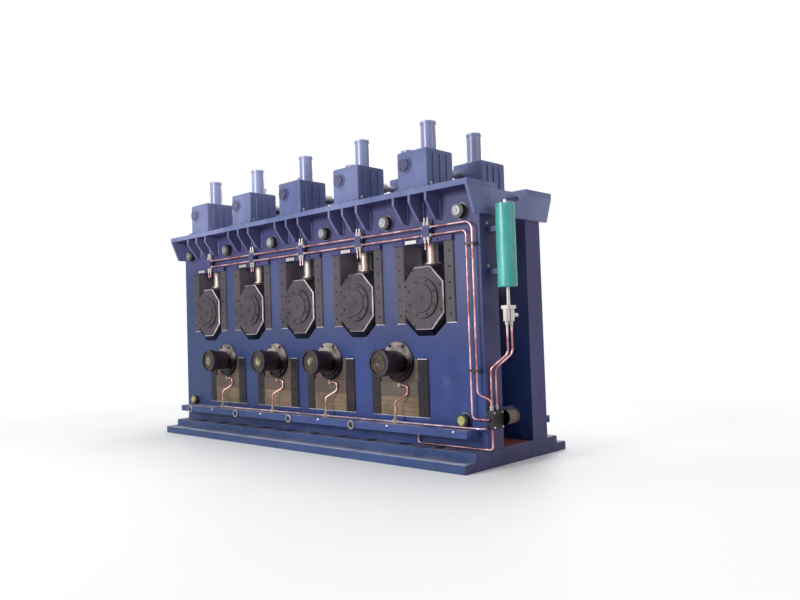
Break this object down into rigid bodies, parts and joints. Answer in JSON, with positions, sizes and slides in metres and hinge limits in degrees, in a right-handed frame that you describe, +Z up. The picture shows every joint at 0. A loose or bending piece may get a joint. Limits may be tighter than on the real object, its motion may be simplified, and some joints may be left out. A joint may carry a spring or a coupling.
{
  "type": "multi-roll straightening machine",
  "caption": "Fixed roll straightener: screw-set upper rolls over driven lower rolls between two thick side frames, on a plated base with worm gearboxes above.",
  "frame": {"origin": "centre of the bottom plate's underside", "axes": "+X along the pass line towards the end with the grease reservoir, -Y out of the front side frame, +Z up"},
  "size_m": [3.954, 1.21, 2.447],
  "materials": {
    "blue_paint": "semi-gloss royal blue machine enamel",
    "bright_steel": "turned and ground bright steel",
    "copper": "drawn copper tube",
    "dark_steel": "dark oiled steel",
    "green_paint": "gloss teal-green enamel",
    "oiled_steel": "ground steel, oily"
  },
  "bodies": {
    "root": {"bottom_plate": "blue_paint", "cross_shafts": "bright_steel", "end_crossbeams": "blue_paint", "front_side_frame": "blue_paint", "grease_distributor": "bright_steel", "grease_pump": "dark_steel", "grease_reservoir": "green_paint", "gussets": "blue_paint", "keeper_plates": "bright_steel", "ledge_lines": "copper", "ledges": "blue_paint", "line_clamps": "dark_steel", "lower_chocks": "oiled_steel", "lower_liners": "dark_steel", "lube_fittings": "bright_steel", "lube_lines": "copper", "lube_manifolds": "blue_paint", "plinth_plate": "blue_paint", "pump_lines": "copper", "pump_motor": "dark_steel", "rear_side_frame": "blue_paint", "reservoir_brackets": "blue_paint", "screw_gearboxes": "blue_paint", "screw_tubes": "blue_paint", "shaft_flanges": "oiled_steel", "spacer_stacks": "oiled_steel", "tie_rod_spacers": "blue_paint", "tie_rods": "bright_steel", "top_flanges": "blue_paint", "upper_liners": "oiled_steel", "worm_covers": "bright_steel"},
    "upper_set_1": {"upper_chocks_1": "oiled_steel", "upper_screws_1": "bright_steel"},
    "upper_roll_1": {"upper_roll_1": "bright_steel"},
    "upper_set_2": {"upper_chocks_2": "oiled_steel", "upper_screws_2": "bright_steel"},
    "upper_roll_2": {"upper_roll_2": "bright_steel"},
    "upper_set_3": {"upper_chocks_3": "oiled_steel", "upper_screws_3": "bright_steel"},
    "upper_roll_3": {"upper_roll_3": "bright_steel"},
    "upper_set_4": {"upper_chocks_4": "oiled_steel", "upper_screws_4": "bright_steel"},
    "upper_roll_4": {"upper_roll_4": "bright_steel"},
    "upper_set_5": {"upper_chocks_5": "oiled_steel", "upper_screws_5": "bright_steel"},
    "upper_roll_5": {"upper_roll_5": "bright_steel"},
    "lower_roll_1": {"lower_roll_1": "bright_steel", "lower_hubs_1": "dark_steel"},
    "lower_roll_2": {"lower_roll_2": "bright_steel", "lower_hubs_2": "dark_steel"},
    "lower_roll_3": {"lower_roll_3": "bright_steel", "lower_hubs_3": "dark_steel"},
    "lower_roll_4": {"lower_roll_4": "bright_steel", "lower_hubs_4": "dark_steel"}
  },
  "joints": [
    {"name": "upper_set_1_height", "type": "slide", "parent": "root", "child": "upper_set_1", "axis": [0, 0, 1], "range_m": [-0.04, 0.1]},
    {"name": "upper_roll_1_turn", "type": "hinge", "parent": "upper_set_1", "child": "upper_roll_1", "pos_m": [-1.43, 0, 1.16], "axis": [0, 1, 0], "continuous": true},
    {"name": "upper_set_2_height", "type": "slide", "parent": "root", "child": "upper_set_2", "axis": [0, 0, 1], "range_m": [-0.04, 0.1]},
    {"name": "upper_roll_2_turn", "type": "hinge", "parent": "upper_set_2", "child": "upper_roll_2", "pos_m": [-0.73, 0, 1.16], "axis": [0, 1, 0], "continuous": true},
    {"name": "upper_set_3_height", "type": "slide", "parent": "root", "child": "upper_set_3", "axis": [0, 0, 1], "range_m": [-0.04, 0.1]},
    {"name": "upper_roll_3_turn", "type": "hinge", "parent": "upper_set_3", "child": "upper_roll_3", "pos_m": [-0.03, 0, 1.16], "axis": [0, 1, 0], "continuous": true},
    {"name": "upper_set_4_height", "type": "slide", "parent": "root", "child": "upper_set_4", "axis": [0, 0, 1], "range_m": [-0.04, 0.1]},
    {"name": "upper_roll_4_turn", "type": "hinge", "parent": "upper_set_4", "child": "upper_roll_4", "pos_m": [0.67, 0, 1.16], "axis": [0, 1, 0], "continuous": true},
    {"name": "upper_set_5_height", "type": "slide", "parent": "root", "child": "upper_set_5", "axis": [0, 0, 1], "range_m": [-0.04, 0.1]},
    {"name": "upper_roll_5_turn", "type": "hinge", "parent": "upper_set_5", "child": "upper_roll_5", "pos_m": [1.37, 0, 1.16], "axis": [0, 1, 0], "continuous": true},
    {"name": "lower_roll_1_turn", "type": "hinge", "parent": "root", "child": "lower_roll_1", "pos_m": [-1.15, 0, 0.706], "axis": [0, 1, 0], "continuous": true},
    {"name": "lower_roll_2_turn", "type": "hinge", "parent": "root", "child": "lower_roll_2", "pos_m": [-0.38, 0, 0.706], "axis": [0, 1, 0], "continuous": true},
    {"name": "lower_roll_3_turn", "type": "hinge", "parent": "root", "child": "lower_roll_3", "pos_m": [0.32, 0, 0.706], "axis": [0, 1, 0], "continuous": true},
    {"name": "lower_roll_4_turn", "type": "hinge", "parent": "root", "child": "lower_roll_4", "pos_m": [1.09, 0, 0.706], "axis": [0, 1, 0], "continuous": true}
  ]
}
